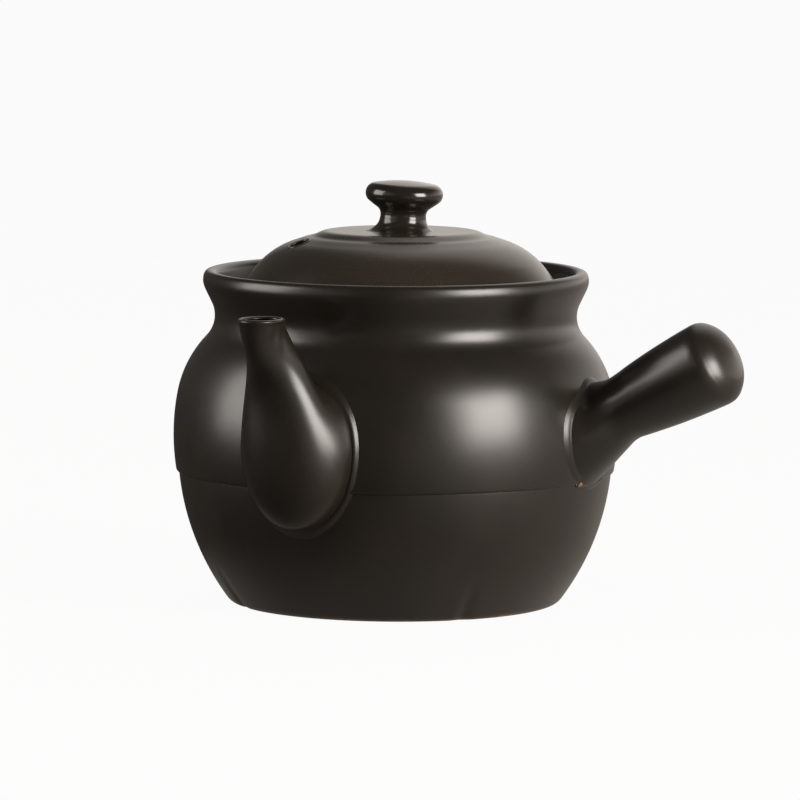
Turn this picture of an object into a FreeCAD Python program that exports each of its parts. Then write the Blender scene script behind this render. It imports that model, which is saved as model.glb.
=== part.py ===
"""Lidded clay pot for simmering herbal medicine, drawn as a parametric FreeCAD document.

The pot is fired stoneware.  A moulded bowl and a moulded shoulder are luted at a seam,
and a hollow handle and a hollow spout are luted to the wall, each with a coil of clay
worked round its root.  The loose lid is a dome with a ring under it and a knob on top.

Millimetres, +Z up.  The origin is the centre of the flat base, the handle points along
+X and the spout along -Y.
"""
import FreeCAD, Part
import os
import re

import Sketcher
from FreeCAD import Placement, Rotation, Vector

doc = FreeCAD.newDocument("medicine_pot")

# --------------------------------------------------------------------------------------
# Driving dimensions.  A radius is measured from the pot's axis and a height from the
# surface that the pot stands on, unless the note says otherwise.
# --------------------------------------------------------------------------------------
DIMENSIONS = [
    # bowl
    ("wall", 5.5, "thickness of the pot's wall"),
    ("foot_radius", 73.9, "outer radius of the foot, before its corner is rounded"),
    ("foot_round", 3.5, "rounding of that corner"),
    ("foot_ring_inner", 58, "inner radius of the ring that the pot stands on"),
    ("foot_recess", 1.5, "depth of the hollow inside that ring"),
    ("floor_height", 8, "height of the floor inside the bowl"),
    ("floor_radius", 72.7, "radius where floor and wall meet, before it is rounded"),
    ("floor_round", 13, "rounding of that corner"),
    ("bowl_arc", 114.4, "profile radius of the bowl's wall"),
    ("seam_height", 59.5, "height of the seam between bowl and shoulder"),
    ("seam_radius", 97.5, "outer radius of the bowl at the seam"),
    # shoulder, neck and rim
    ("overhang_radius", 98.65, "outer radius of the shoulder at the seam"),
    ("overhang_round", 0.9, "rounding of the edge that stands out over the bowl"),
    ("belly_radius", 100, "widest radius, and the profile radius about it"),
    ("belly_height", 76, "height of the widest place"),
    ("shoulder_radius", 98.2, "radius where the belly turns into the shoulder"),
    ("shoulder_height", 95, "height of that place"),
    ("shoulder_arc", 50, "profile radius of the shoulder"),
    ("neck_radius", 85.3, "radius where the shoulder turns into the neck"),
    ("neck_height", 120, "height of that place"),
    ("neck_arc", 13.8, "profile radius of the hollow neck"),
    ("flare_radius", 82.6, "radius where the neck turns into the flare"),
    ("flare_height", 134.8, "height of that place"),
    ("rim_radius", 86.9, "outer radius of the rolled rim"),
    ("rim_height", 149.9, "height of its top"),
    ("rim_bead", 3.5, "radius of its round edge"),
    ("rim_tangent", 21.6, "degrees below level where the flare meets the round edge"),
    ("gallery_height", 135, "height of the ledge that the lid sits on"),
    ("gallery_outer", 77.8, "outer radius of that ledge"),
    ("gallery_inner", 71.5, "inner radius of that ledge, half the mouth's width"),
    ("gallery_thick", 5, "thickness of its inner edge"),
    ("gallery_root_radius", 76.6, "radius where its underside meets the wall"),
    ("gallery_root_height", 120.5, "height of that place"),
    # tool marks at the foot, and the strainer
    ("flute_radius", 9, "radius of a tool mark's round section"),
    ("flute_reach", 83.7, "radius of its axis at the ground"),
    ("flute_lean", 36, "degrees that its axis leans outwards"),
    ("flute_heading", 45, "heading of the first of the four marks"),
    ("strainer_hole", 5, "diameter of a strainer hole"),
    ("strainer_pitch", 10, "distance between neighbouring holes in a row"),
    # spout: each section has a reach from the axis, a height, a tilt and two half widths
    ("spout_wall", 4, "thickness of the spout's wall at the root"),
    ("spout_lip", 2.4, "thickness of its lip"),
    ("spout_lip_round", 0.8, "rounding of the lip's edges"),
    ("root_reach", 78, "root section, inside the pot's wall"),
    ("root_height", 68, ""),
    ("root_tilt", 20.5, "degrees from level"),
    ("root_side", 25.7, "half width across the spout"),
    ("root_rise", 32.4, "half width in the upright plane"),
    ("swell_reach", 101.7, "section that the root swells out to"),
    ("swell_height", 84.1, ""),
    ("swell_tilt", 38.2, ""),
    ("swell_side", 24.8, ""),
    ("swell_rise", 27.9, ""),
    ("waist_reach", 107.3, "section where the swelling ends"),
    ("waist_height", 91.4, ""),
    ("waist_tilt", 44.6, ""),
    ("waist_side", 22.1, ""),
    ("waist_rise", 22.5, ""),
    ("stem_reach", 115.3, "section at the narrow stem"),
    ("stem_height", 112.5, ""),
    ("stem_tilt", 57.4, ""),
    ("stem_side", 13.1, ""),
    ("stem_rise", 13.3, ""),
    ("bend_reach", 122.5, "section where the spout turns up"),
    ("bend_height", 120.2, ""),
    ("bend_tilt", 67.5, ""),
    ("bend_side", 10.2, ""),
    ("bend_rise", 13.2, ""),
    ("throat_reach", 128, "section below the lip"),
    ("throat_height", 128.8, ""),
    ("throat_tilt", 78.7, ""),
    ("throat_side", 9.4, ""),
    ("throat_rise", 12.7, ""),
    ("tip_reach", 131.5, "the lip, cut level"),
    ("tip_height", 138.5, ""),
    ("tip_tilt", 90, ""),
    ("tip_side", 9.9, ""),
    ("tip_rise", 11.3, ""),
    # handle: lengths run along its axis from the point where that meets the wall
    ("handle_reach", 97, "radius of the handle axis at the wall"),
    ("handle_height", 84.9, "height of that point"),
    ("handle_rise", 27.4, "degrees that the handle rises"),
    ("handle_inset", 24, "length of the blank that the wall's curve is cut from"),
    ("handle_root", 24.4, "radius of the foot that flares onto the wall"),
    ("handle_root_at", 12, "length back to the place where the flare ends"),
    ("handle_neck_in", 15.5, "radius where the flare starts"),
    ("handle_neck_in_at", 13, "length to that place"),
    ("handle_neck_arc", 22, "profile radius of the neck"),
    ("handle_neck_out", 15.1, "radius where the grip starts"),
    ("handle_neck_out_at", 24, "length to that place"),
    ("handle_bow", 400, "profile radius of the grip, which swells a little"),
    ("handle_grip", 19.3, "radius of its thickest place"),
    ("handle_grip_at", 65, "length to that place"),
    ("handle_end_arc", 12, "profile radius of the end's round edge"),
    ("handle_cap", 12, "radius of the end's cap"),
    ("handle_cap_at", 73.5, "length to the foot of that cap"),
    ("handle_length", 76.9, "length to the end"),
    ("handle_wall", 5, "thickness of the handle's wall"),
    ("vent_reach", 120, "radius of the firing vent under the handle"),
    ("handle_vent", 3, "diameter of that vent"),
    # luting
    ("coil_radius", 3.2, "radius of the clay coil worked round each root"),
    # lid
    ("lid_radius", 74.5, "outer radius of the lid"),
    ("lid_edge", 3.5, "height of its upright edge"),
    ("lid_wall", 5, "thickness of the dome"),
    ("lid_shift", 2, "distance that the lid sits to one side in its gallery"),
    ("lid_heading", 26, "heading of that shift"),
    ("dome_radius", 65, "radius where the dome's round part starts"),
    ("dome_height", 151.5, "height of that place"),
    ("dome_arc", 36, "profile radius of the round part"),
    ("crown_radius", 47.5, "radius where the round part ends"),
    ("crown_height", 163.2, "height of that place"),
    ("step_radius", 38.5, "radius at the foot of the flat top's step"),
    ("step_height", 165.8, "height of that place"),
    ("top_radius", 36, "radius of the flat top"),
    ("top_height", 167.8, "height of the flat top"),
    ("steam_reach", 47.5, "radius of the steam hole, from the lid's axis"),
    ("steam_heading", 205, "heading of the steam hole, from the way the lid is shifted"),
    ("steam_hole", 8.5, "diameter of the steam hole"),
    ("land_width", 10, "width of the flat under the lid's edge"),
    ("ring_outer", 68.8, "outer radius of the ring under the lid"),
    ("ring_thick", 4.5, "thickness of that ring"),
    ("ring_depth", 11, "depth that it reaches below the gallery"),
    # knob
    ("knob_shift", 1.4, "distance of the knob from the lid's axis"),
    ("knob_lean", 2.5, "degrees that the knob leans the same way"),
    ("knob_foot", 10.8, "radius of the stem at the lid"),
    ("knob_sunk", 1, "length of the stem that is cut to fit the lid"),
    ("knob_stem", 10.3, "radius of the stem at its thinnest"),
    ("knob_stem_at", 6.5, "height of that place above the lid"),
    ("knob_hollow", 4, "profile radius between the stem and the cap"),
    ("knob_under", 12.4, "radius where the cap's underside starts"),
    ("knob_under_at", 10.6, "height of that place"),
    ("knob_belly", 15.2, "radius where the underside turns up"),
    ("knob_belly_at", 12.6, "height of that place"),
    ("knob_radius", 17.4, "radius of the cap"),
    ("knob_radius_at", 16.8, "height of the cap's widest place"),
    ("knob_edge", 4.6, "profile radius of the cap's round edge"),
    ("knob_shoulder", 13.6, "radius where the round edge turns into the top"),
    ("knob_shoulder_at", 21.2, "height of that place"),
    ("knob_top", 22.5, "height of the knob"),
    ("knob_coil", 3, "radius of the clay coil round the knob's foot"),
]


def fill_sheet(rows):
    """Put each dimension on a row of its own, under an alias of its own."""
    table = doc.addObject("Spreadsheet::Sheet", "Dims")
    for row, (alias, number, note) in enumerate(rows, start=1):
        table.set(f"A{row}", str(number))
        table.setAlias(f"A{row}", alias)
        if note:
            table.set(f"B{row}", note)
    doc.recompute()
    return table


sheet = fill_sheet(DIMENSIONS)
ALIASES = {alias for alias, number, note in DIMENSIONS}


# --------------------------------------------------------------------------------------
# Helpers
# --------------------------------------------------------------------------------------
def on_sheet(formula):
    """Write a formula of aliases the way that an expression reads it."""
    def qualify(match):
        word = match.group()
        return f"Dims.{word}" if word in ALIASES else word
    return re.sub(r"[a-z_]+", qualify, formula)


def value(formula):
    """Work out a formula of aliases."""
    return float(sheet.evalExpression(formula))


def new_body(label):
    body = doc.addObject("PartDesign::Body", label)
    body.Label = label
    return body


def origin_part(body, role):
    return next(part for part in body.Origin.OriginFeatures if part.Role == role)


def new_sketch(body, name, role="XZ_Plane"):
    sketch = body.newObject("Sketcher::SketchObject", name)
    sketch.AttachmentSupport = [(origin_part(body, role), "")]
    sketch.MapMode = "FlatFace"
    return sketch


def constrain(sketch, kind, elements, formula):
    """Add a dimension to a sketch and drive it from the sheet."""
    index = sketch.addConstraint(Sketcher.Constraint(kind, *elements, value(formula)))
    sketch.setExpression(f"Constraints[{index}]", on_sheet(formula))


def pin(sketch, shape, end, x, y):
    """Hold one point of a sketch at (x, y)."""
    for kind, axis, formula in (("DistanceX", -2, x), ("DistanceY", -1, y)):
        if formula == "0":
            sketch.addConstraint(Sketcher.Constraint("PointOnObject", shape, end, axis))
        else:
            constrain(sketch, kind, (-1, 1, shape, end), formula)


def arc_between(first, last, radius):
    """The short arc from first to last.  A negative radius bends it the other way."""
    chord = last - first
    left = Vector(-chord.y, chord.x, 0).normalize()
    inset = (radius ** 2 - (chord.Length / 2) ** 2) ** 0.5
    centre = (first + last) / 2 + left * (inset if radius > 0 else -inset)
    circle = Part.Circle(centre, Vector(0, 0, 1), abs(radius))
    ends = (first, last) if radius > 0 else (last, first)
    return Part.ArcOfCircle(circle, circle.parameter(ends[0]), circle.parameter(ends[1]))


def draw_outline(sketch, corners):
    """Close a loop through the corners, counterclockwise.

    A corner is (x, y), reached by a straight edge, or (x, y, radius), reached by an arc:
    a plus radius is convex, and a radius that starts with a minus is concave.
    """
    points = [Vector(value(corner[0]), value(corner[1]), 0) for corner in corners]
    edges = []
    for number, corner in enumerate(corners):
        first, last = points[number - 1], points[number]
        if len(corner) == 2:
            index = sketch.addGeometry(Part.LineSegment(first, last), False)
            edges.append((index, 1, 2))
            continue
        concave = corner[2].startswith("-")
        index = sketch.addGeometry(arc_between(first, last, value(corner[2])), False)
        constrain(sketch, "Radius", (index,), corner[2].lstrip("-"))
        edges.append((index, 2, 1) if concave else (index, 1, 2))
    for number, (index, start, end) in enumerate(edges):
        following, its_start, its_end = edges[(number + 1) % len(edges)]
        join = Sketcher.Constraint("Coincident", index, end, following, its_start)
        sketch.addConstraint(join)
        pin(sketch, index, end, corners[number][0], corners[number][1])
    return sketch


def turn(body, name, sketch, axis="V_Axis", cut=False):
    """Revolve a sketch into a solid, or into a cut, about one of its own axes."""
    kind = "PartDesign::Groove" if cut else "PartDesign::Revolution"
    feature = body.newObject(kind, name)
    feature.Profile = sketch
    feature.ReferenceAxis = (sketch, [axis])
    feature.Angle = 360
    doc.recompute()
    return feature


def ring_edges(feature, places):
    """Names of the round edges at the given (radius, height) places."""
    names = []
    for number, edge in enumerate(feature.Shape.Edges, start=1):
        if not isinstance(edge.Curve, Part.Circle):
            continue
        size = (edge.Curve.Radius, edge.Curve.Center.z)
        near = [p for p in places if abs(size[0] - p[0]) + abs(size[1] - p[1]) < 0.01]
        if near:
            names.append(f"Edge{number}")
    return names


def round_edges(body, name, base, edges, radius):
    feature = body.newObject("PartDesign::Fillet", name)
    feature.Base = (base, edges)
    feature.setExpression("Radius", on_sheet(radius))
    doc.recompute()
    return feature


def drill(body, name, role, circles, length, away=False):
    """Cut round holes, each (x, y, diameter), from an origin plane."""
    sketch = new_sketch(body, name + "_circles", role)
    for x, y, diameter in circles:
        circle = Part.Circle(Vector(value(x), value(y), 0), Vector(0, 0, 1), value(diameter) / 2)
        index = sketch.addGeometry(circle, False)
        pin(sketch, index, 3, x, y)
        constrain(sketch, "Diameter", (index,), diameter)
    feature = body.newObject("PartDesign::Pocket", name)
    feature.Profile = sketch
    feature.Reversed = away
    feature.setExpression("Length", on_sheet(length))
    doc.recompute()
    return feature


def reduced(radius):
    """A radius of the belly's profile, moved inwards by the thickness of the wall."""
    return f"{radius} * (1 - wall / belly_radius)"


# --------------------------------------------------------------------------------------
# The pot's outline, shared by the shells and by everything that is fitted to them
# --------------------------------------------------------------------------------------
BOWL_OUTSIDE = [
    ("foot_radius", "0"),
    ("seam_radius", "seam_height", "bowl_arc"),
]
SHOULDER_OUTSIDE = [
    ("overhang_radius", "seam_height"),
    ("shoulder_radius", "shoulder_height", "belly_radius"),
    ("neck_radius", "neck_height", "shoulder_arc"),
]
POT_OUTSIDE = [("0", "0")] + BOWL_OUTSIDE + SHOULDER_OUTSIDE + [("0", "neck_height")]


SEAM_HEADING = 135


def pot_outside(body):
    """The outline, in a plane turned away from the handle and the spout.

    A revolved surface has a seam in the plane of its sketch, which would otherwise run
    through the very places where the wall is joined.
    """
    sketch = new_sketch(body, "pot_outside")
    sketch.AttachmentOffset = Placement(Vector(), Rotation(Vector(0, 1, 0), SEAM_HEADING))
    return draw_outline(sketch, POT_OUTSIDE)


def cut_pot_outside(body):
    """Cut the pot's outer form away, so that the piece fits against the wall."""
    return turn(body, "fit_to_wall", pot_outside(body), cut=True)


# --------------------------------------------------------------------------------------
# Bowl: the lower half of the pot, with a foot ring and four tool marks at the foot
# --------------------------------------------------------------------------------------
STRAINER_ROWS = [
    ("seam_height - 8", (-1, 0, 1)),
    ("seam_height + 8", (-1.5, -0.5, 0.5, 1.5)),
    ("seam_height + 18", (-1, 0, 1)),
    ("seam_height + 28", (-0.5, 0.5)),
]


def strainer_holes(rows):
    """Centres and diameters of the holes behind the spout, seen from the front."""
    return [
        (f"{place} * strainer_pitch" if place else "0", height, "strainer_hole")
        for height, places in rows
        for place in places
    ]


def make_lower_bowl():
    body = new_body("lower_bowl")
    outline = [("0", "foot_recess"), ("foot_ring_inner - 2 * foot_recess", "foot_recess")]
    outline += [("foot_ring_inner", "0")] + BOWL_OUTSIDE
    outline += [("seam_radius - wall", "seam_height")]
    outline += [("floor_radius", "floor_height", "-(bowl_arc - wall)"), ("0", "floor_height")]
    wall = turn(body, "wall", draw_outline(new_sketch(body, "wall_outline"), outline))
    corner = [(value("foot_radius"), 0)]
    foot = round_edges(body, "foot_corner", wall, ring_edges(wall, corner), "foot_round")
    corner = [(value("floor_radius"), value("floor_height"))]
    floor = round_edges(body, "floor_corner", foot, ring_edges(foot, corner), "floor_round")

    flute = body.newObject("PartDesign::SubtractiveCylinder", "flute")
    flute.AttachmentSupport = [(origin_part(body, "XY_Plane"), "")]
    flute.MapMode = "FlatFace"
    lean = Rotation(Vector(0, 1, 0), value("flute_lean"))
    heading = Rotation(Vector(0, 0, 1), value("flute_heading"))
    at_ground = heading.multVec(Vector(value("flute_reach"), 0, 0))
    below = (heading * lean).multVec(Vector(0, 0, -value("flute_radius")))
    flute.AttachmentOffset = Placement(at_ground + below, heading * lean)
    flute.setExpression("Radius", on_sheet("flute_radius"))
    flute.setExpression("Height", on_sheet("4 * flute_radius"))
    doc.recompute()
    flutes = body.newObject("PartDesign::PolarPattern", "flutes")
    flutes.Originals = [flute]
    flutes.Axis = (origin_part(body, "Z_Axis"), [""])
    flutes.Occurrences = 4
    body.Tip = flutes
    doc.recompute()
    drill(body, "strainer", "XZ_Plane", strainer_holes(STRAINER_ROWS[:1]), "belly_radius", True)
    return body


# --------------------------------------------------------------------------------------
# Shoulder: the upper half, with the neck, the rolled rim and the lid's gallery inside
# --------------------------------------------------------------------------------------
def make_upper_shell():
    body = new_body("upper_shell")
    rim_centre = ("rim_radius - rim_bead", "rim_height - rim_bead")
    outline = SHOULDER_OUTSIDE + [
        ("flare_radius", "flare_height", "-neck_arc"),
        (f"{rim_centre[0]} + rim_bead * cos(rim_tangent)",
         f"{rim_centre[1]} - rim_bead * sin(rim_tangent)"),
        (rim_centre[0], "rim_height", "rim_bead"),
        ("rim_radius - 2 * rim_bead", rim_centre[1], "rim_bead"),
        ("gallery_outer", "gallery_height"),
        ("gallery_inner", "gallery_height"),
        ("gallery_inner", "gallery_height - gallery_thick"),
        ("gallery_root_radius", "gallery_root_height"),
        (reduced("shoulder_radius"),
         "belly_height + " + reduced("(shoulder_height - belly_height)"),
         "-(shoulder_arc - wall)"),
        ("sqrt((belly_radius - wall) ^ 2 - (belly_height - seam_height) ^ 2)", "seam_height",
         "-(belly_radius - wall)"),
    ]
    wall = turn(body, "wall", draw_outline(new_sketch(body, "wall_outline"), outline))
    corner = [(value("overhang_radius"), value("seam_height"))]
    round_edges(body, "overhang", wall, ring_edges(wall, corner), "overhang_round")
    drill(body, "strainer", "XZ_Plane", strainer_holes(STRAINER_ROWS[1:]), "belly_radius", True)
    return body


# --------------------------------------------------------------------------------------
# Spout: a hollow horn, wide at the root and cut nearly level at the lip
# --------------------------------------------------------------------------------------
SPOUT_SECTIONS = ["root", "swell", "waist", "stem", "bend", "throat", "tip"]


def spout_section(body, station, suffix, inset):
    """An upright ellipse, moved out along the spout and tilted back."""
    sketch = new_sketch(body, f"{station}_{suffix}")
    rise, side = f"{station}_rise - {inset}", f"{station}_side - {inset}"
    top, right = Vector(0, value(rise), 0), Vector(value(side), 0, 0)
    ellipse = sketch.addGeometry(Part.Ellipse(top, right, Vector()), False)
    sketch.exposeInternalGeometry(ellipse)
    long_axis, short_axis = ellipse + 1, ellipse + 2
    sketch.addConstraint(Sketcher.Constraint("Coincident", ellipse, 3, -1, 1))
    sketch.addConstraint(Sketcher.Constraint("Vertical", long_axis))
    constrain(sketch, "Distance", (long_axis,), f"2 * ({rise})")
    constrain(sketch, "Distance", (short_axis,), f"2 * ({side})")
    sketch.AttachmentOffset = Placement(Vector(), Rotation(Vector(1, 0, 0), -value(f"{station}_tilt")))
    sketch.setExpression("AttachmentOffset.Base.y", on_sheet(f"{station}_height"))
    sketch.setExpression("AttachmentOffset.Base.z", on_sheet(f"{station}_reach"))
    return sketch


def loft(body, kind, name, sections):
    feature = body.newObject(kind, name)
    feature.Profile = sections[0]
    feature.Sections = sections[1:]
    doc.recompute()
    return feature


def make_spout():
    body = new_body("spout")
    outer = [spout_section(body, station, "outside", "0") for station in SPOUT_SECTIONS]
    loft(body, "PartDesign::AdditiveLoft", "horn", outer)
    thickness = ["spout_wall"] * 5 + ["spout_lip"] * 2
    inner = [
        spout_section(body, station, "inside", inset)
        for station, inset in zip(SPOUT_SECTIONS, thickness)
    ]
    loft(body, "PartDesign::SubtractiveLoft", "channel", inner)
    fitted = cut_pot_outside(body)
    lip = [
        f"Edge{number}"
        for number, edge in enumerate(fitted.Shape.Edges, start=1)
        if edge.BoundBox.ZMin > value("tip_height") - 0.01
    ]
    round_edges(body, "lip", fitted, lip, "spout_lip_round")
    return body


# --------------------------------------------------------------------------------------
# Handle: a hollow club with a closed, rounded end and a small vent for the firing
# --------------------------------------------------------------------------------------
def handle_sketch(body, name):
    """A sketch whose horizontal axis is the handle's own axis."""
    sketch = new_sketch(body, name)
    sketch.AttachmentOffset = Placement(Vector(), Rotation(Vector(0, 0, 1), value("handle_rise")))
    sketch.setExpression("AttachmentOffset.Base.x", on_sheet("handle_reach"))
    sketch.setExpression("AttachmentOffset.Base.y", on_sheet("handle_height"))
    return sketch


def handle_outline(inset):
    """Half of the club's profile, from the end back to the wall."""
    cap = f"(handle_cap{inset})"
    dome = f"(handle_length - handle_cap_at)"
    cap_arc = f"({cap} ^ 2 + {dome} ^ 2) / (2 * {dome})"
    return [
        (f"handle_length{inset}", "0"),
        (f"handle_cap_at{inset}", cap, cap_arc),
        (f"handle_grip_at{inset}", f"handle_grip{inset}", "handle_end_arc"),
        ("handle_neck_out_at", f"handle_neck_out{inset}", "handle_bow"),
        ("handle_neck_in_at", f"handle_neck_in{inset}", "-handle_neck_arc"),
        ("-handle_root_at", f"handle_root{inset}"),
        ("-handle_inset", f"handle_root{inset}"),
        ("-handle_inset", "0"),
    ]


def make_handle():
    body = new_body("handle")
    club = draw_outline(handle_sketch(body, "club_outline"), handle_outline(""))
    turn(body, "club", club, "H_Axis")
    hollow = handle_outline(" - handle_wall")
    turn(body, "hollow", draw_outline(handle_sketch(body, "hollow_outline"), hollow), "H_Axis", True)
    cut_pot_outside(body)
    drill(body, "vent", "XY_Plane", [("vent_reach", "0", "handle_vent")], "handle_height", True)
    return body


# --------------------------------------------------------------------------------------
# Lid
# --------------------------------------------------------------------------------------
def place_lid_piece(body):
    """Set a piece of the lid a little to one side, as the loose lid sits."""
    heading = Rotation(Vector(0, 0, 1), value("lid_heading"))
    body.Placement = Placement(heading.multVec(Vector(value("lid_shift"), 0, 0)), heading)
    return body


def make_lid_dome():
    body = new_body("lid_dome")
    outline = [
        ("lid_radius - land_width", "gallery_height"),
        ("lid_radius", "gallery_height"),
        ("lid_radius", "gallery_height + lid_edge"),
        ("dome_radius", "dome_height"),
        ("crown_radius", "crown_height", "dome_arc"),
        ("step_radius", "step_height"),
        ("top_radius", "top_height"),
        ("0", "top_height"),
        ("0", "top_height - lid_wall"),
        ("crown_radius - lid_wall / 2", "crown_height - lid_wall"),
        ("dome_radius - lid_wall", "dome_height - lid_wall / 2", "-(dome_arc - lid_wall)"),
    ]
    turn(body, "dome", draw_outline(new_sketch(body, "dome_outline"), outline))
    centre = ("steam_reach * cos(steam_heading)", "steam_reach * sin(steam_heading)")
    drill(body, "steam", "XY_Plane", [(*centre, "steam_hole")], "rim_height + belly_radius", True)
    return place_lid_piece(body)


def make_lid_flange():
    body = new_body("lid_flange")
    outline = [
        ("ring_outer - ring_thick", "gallery_height - ring_depth"),
        ("ring_outer", "gallery_height - ring_depth"),
        ("ring_outer", "gallery_height"),
        ("ring_outer - ring_thick", "gallery_height"),
    ]
    turn(body, "ring", draw_outline(new_sketch(body, "ring_outline"), outline))
    return place_lid_piece(body)


def knob_sketch(body, name):
    """A sketch whose upright axis is the knob's own, which leans a little."""
    sketch = new_sketch(body, name)
    sketch.AttachmentOffset = Placement(Vector(), Rotation(Vector(0, 0, 1), -value("knob_lean")))
    sketch.setExpression("AttachmentOffset.Base.x", on_sheet("knob_shift"))
    sketch.setExpression("AttachmentOffset.Base.y", on_sheet("top_height"))
    return sketch


def cut_lid_top(body):
    """Cut away what the leaning knob would sink into the flat top of the lid."""
    cut = drill(body, "fit_to_lid", "XY_Plane", [("0", "0", "2 * top_radius")], "2 * knob_sunk")
    cut.Profile[0].setExpression("AttachmentOffset.Base.z", on_sheet("top_height"))
    doc.recompute()
    return cut


def make_lid_knob():
    body = new_body("lid_knob")
    crown = "(knob_top - knob_shoulder_at)"
    crown_arc = f"(knob_shoulder ^ 2 + {crown} ^ 2) / (2 * {crown})"
    outline = [
        ("0", "-knob_sunk"),
        ("knob_foot", "-knob_sunk"),
        ("knob_stem", "knob_stem_at"),
        ("knob_under", "knob_under_at", "-knob_hollow"),
        ("knob_belly", "knob_belly_at"),
        ("knob_radius", "knob_radius_at", "knob_edge"),
        ("knob_shoulder", "knob_shoulder_at", "knob_edge"),
        ("0", "knob_top", crown_arc),
    ]
    turn(body, "knob", draw_outline(knob_sketch(body, "knob_outline"), outline))
    cut_lid_top(body)
    return place_lid_piece(body)


def make_knob_luting():
    body = new_body("knob_luting")
    share = "(knob_coil + knob_sunk) / (knob_stem_at + knob_sunk)"
    outline = [
        ("knob_foot", "-knob_sunk"),
        ("knob_foot + knob_coil", "-knob_sunk"),
        ("knob_foot + knob_coil", "0"),
        (f"knob_foot - (knob_foot - knob_stem) * {share}", "knob_coil", "knob_coil"),
    ]
    turn(body, "coil", draw_outline(knob_sketch(body, "coil_outline"), outline))
    cut_lid_top(body)
    return place_lid_piece(body)


# --------------------------------------------------------------------------------------
# Luting: a coil of clay along the line where a hollow root meets the wall
# --------------------------------------------------------------------------------------
PATH_POINTS = 24
PATH_START = 3


def make_pot_form():
    """The pot's outer form as one closed solid, to fit the coils against."""
    body = new_body("pot_form")
    turn(body, "form", pot_outside(body))
    return body.Shape


def coil_path(blank):
    """A smooth closed curve along the line where a root meets a ball like the belly."""
    ball = Part.makeSphere(value("belly_radius"), Vector(0, 0, value("belly_height")))
    ball.rotate(Vector(), Vector(0, 0, 1), SEAM_HEADING)
    crossing = Part.Wire(Part.__sortEdges__(blank.section(ball.Faces[0]).Edges))
    points = crossing.discretize(Number=PATH_POINTS + 1)[:-1]
    path = Part.BSplineCurve()
    path.interpolate(points[PATH_START:] + points[:PATH_START], PeriodicFlag=True)
    return path


def sweep_coil(path, first, last):
    """A round bar of clay along one stretch of the path."""
    along = path.tangent(first)[0]
    ring = Part.Wire(Part.makeCircle(value("coil_radius"), path.value(first), along))
    return Part.Wire(path.toShape(first, last)).makePipeShell([ring], True, False)


def make_luting(label, blank, wall):
    """Lay a coil round the root of a piece, and cut the piece and the wall out of it."""
    path = coil_path(blank)
    half_way = (path.FirstParameter + path.LastParameter) / 2
    coil = sweep_coil(path, path.FirstParameter, half_way)
    coil = coil.fuse(sweep_coil(path, half_way, path.LastParameter))
    feature = doc.addObject("Part::Feature", label)
    feature.Label = label
    feature.Shape = coil.cut(wall).cut(blank)
    feature.Placement = Placement()
    return feature


# --------------------------------------------------------------------------------------
# Assembly and export
# --------------------------------------------------------------------------------------
pot_form = make_pot_form()
spout = make_spout()
handle = make_handle()
PIECES = [
    make_lower_bowl(),
    make_upper_shell(),
    spout,
    make_luting("spout_luting", doc.getObject("horn").Shape, pot_form),
    handle,
    make_luting("handle_luting", doc.getObject("club").Shape, pot_form),
    make_lid_dome(),
    make_lid_flange(),
    make_lid_knob(),
    make_knob_luting(),
]

doc.recompute()
for item in doc.Objects:
    faults = [state for state in item.State if state in ("Invalid", "Error")]
    if faults:
        raise RuntimeError(f"{item.Label}: {faults}")
for piece in PIECES:
    if piece.Shape.isNull() or not piece.Shape.isValid() or len(piece.Shape.Solids) != 1:
        raise RuntimeError(f"{piece.Label} isn't one valid solid")

os.makedirs("parts", exist_ok=True)
for piece in PIECES:
    print(f"{piece.Label}: {piece.Shape.Volume / 1000:.1f} cm3")
    piece.Shape.exportStep(f"parts/{piece.Label}.step")
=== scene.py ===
import math
from functools import partial

import bmesh
import bpy
from mathutils import Matrix, Vector


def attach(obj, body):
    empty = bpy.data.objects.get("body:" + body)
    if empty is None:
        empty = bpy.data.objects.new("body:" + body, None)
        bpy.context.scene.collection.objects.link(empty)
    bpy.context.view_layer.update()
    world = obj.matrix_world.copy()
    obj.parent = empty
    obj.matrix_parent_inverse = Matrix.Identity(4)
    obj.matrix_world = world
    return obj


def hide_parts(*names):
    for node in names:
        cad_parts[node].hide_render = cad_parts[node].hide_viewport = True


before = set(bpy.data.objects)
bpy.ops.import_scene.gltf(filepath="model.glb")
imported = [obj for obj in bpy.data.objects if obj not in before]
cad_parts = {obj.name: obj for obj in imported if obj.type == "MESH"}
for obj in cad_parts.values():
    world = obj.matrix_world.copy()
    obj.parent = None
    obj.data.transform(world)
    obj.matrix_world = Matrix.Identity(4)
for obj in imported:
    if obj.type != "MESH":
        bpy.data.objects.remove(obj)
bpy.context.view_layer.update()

# ======================================================================================
# Bowl
# The lower half of the pot, stoneware turned in a mould: a thick floor on a foot ring,
# and a wall that swells up to the seam.  The glaze stops just short of the ground.
# ======================================================================================
MM = 0.001
CORNER_STEPS = 7
LEAST_GAP = 0.02


def run_between(first, last, bend, spacing):
    """Points from one corner of a profile to the next, along an arc or a straight line."""
    chord = last - first
    if not bend:
        count = max(1, round(chord.length / spacing))
        return [first + chord * step / count for step in range(count + 1)]
    left = Vector((-chord.y, chord.x)).normalized()
    inset = math.sqrt(bend ** 2 - (chord.length / 2) ** 2)
    centre = (first + last) / 2 + left * math.copysign(inset, bend)
    start = math.atan2(first.y - centre.y, first.x - centre.x)
    turn = 2 * math.asin(chord.length / 2 / bend)
    count = max(2, round(abs(turn * bend) / spacing))
    angles = [start + turn * step / count for step in range(count + 1)]
    return [centre + abs(bend) * Vector((math.cos(a), math.sin(a))) for a in angles]


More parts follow.
